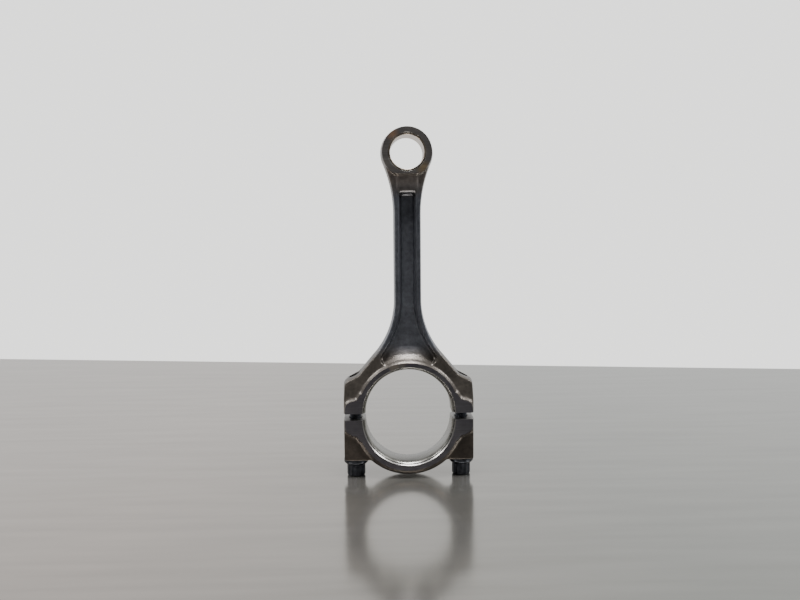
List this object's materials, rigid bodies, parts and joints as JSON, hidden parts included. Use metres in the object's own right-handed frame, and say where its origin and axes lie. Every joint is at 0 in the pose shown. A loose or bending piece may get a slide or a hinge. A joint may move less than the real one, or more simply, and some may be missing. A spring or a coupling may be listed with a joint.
{
  "type": "connecting rod",
  "caption": "Forged I-beam connecting rod with a bushed small end and a bolted bearing cap that closes round a crankpin.",
  "frame": {"origin": "centre of the crankpin bore, in the joint face of the rod half", "axes": "+Z towards the small end, +Y along the crankpin away from the front side, +X to the right"},
  "size_m": [0.0793, 0.022, 0.2109],
  "materials": {
    "rod_steel": "dark satin forging scale with ground side faces",
    "cap_steel": "dark satin forging scale with ground side faces",
    "bush_bronze": "reamed bronze, stained dark at its ends",
    "shell_metal": "smooth grey bearing lining",
    "bolt_steel": "black oxide, satin"
  },
  "bodies": {
    "rod": {"rod_forging": "rod_steel", "small_end_bush": "bush_bronze", "upper_bearing_shell": "shell_metal"},
    "cap": {"bearing_cap": "cap_steel", "lower_bearing_shell": "shell_metal"},
    "left_bolt": {"left_bolt": "bolt_steel"},
    "right_bolt": {"right_bolt": "bolt_steel"}
  },
  "joints": [
    {"name": "rod_slide", "type": "slide", "parent": "cap", "child": "rod", "axis": [0, 0, 1], "range_m": [-0.004, 0.022]},
    {"name": "left_bolt_turn", "type": "hinge", "parent": "cap", "child": "left_bolt", "pos_m": [-0.03225, 0, -0.0294], "axis": [0, 0, 1], "range_deg": [-7920, 1440]},
    {"name": "right_bolt_turn", "type": "hinge", "parent": "cap", "child": "right_bolt", "pos_m": [0.03225, 0, -0.0294], "axis": [0, 0, 1], "range_deg": [-7920, 1440]}
  ],
  "couplings": [
    {"joint": "left_bolt_turn", "follows": "rod_slide", "rad_per_m": -6283.2},
    {"joint": "right_bolt_turn", "follows": "rod_slide", "rad_per_m": -6283.2}
  ]
}
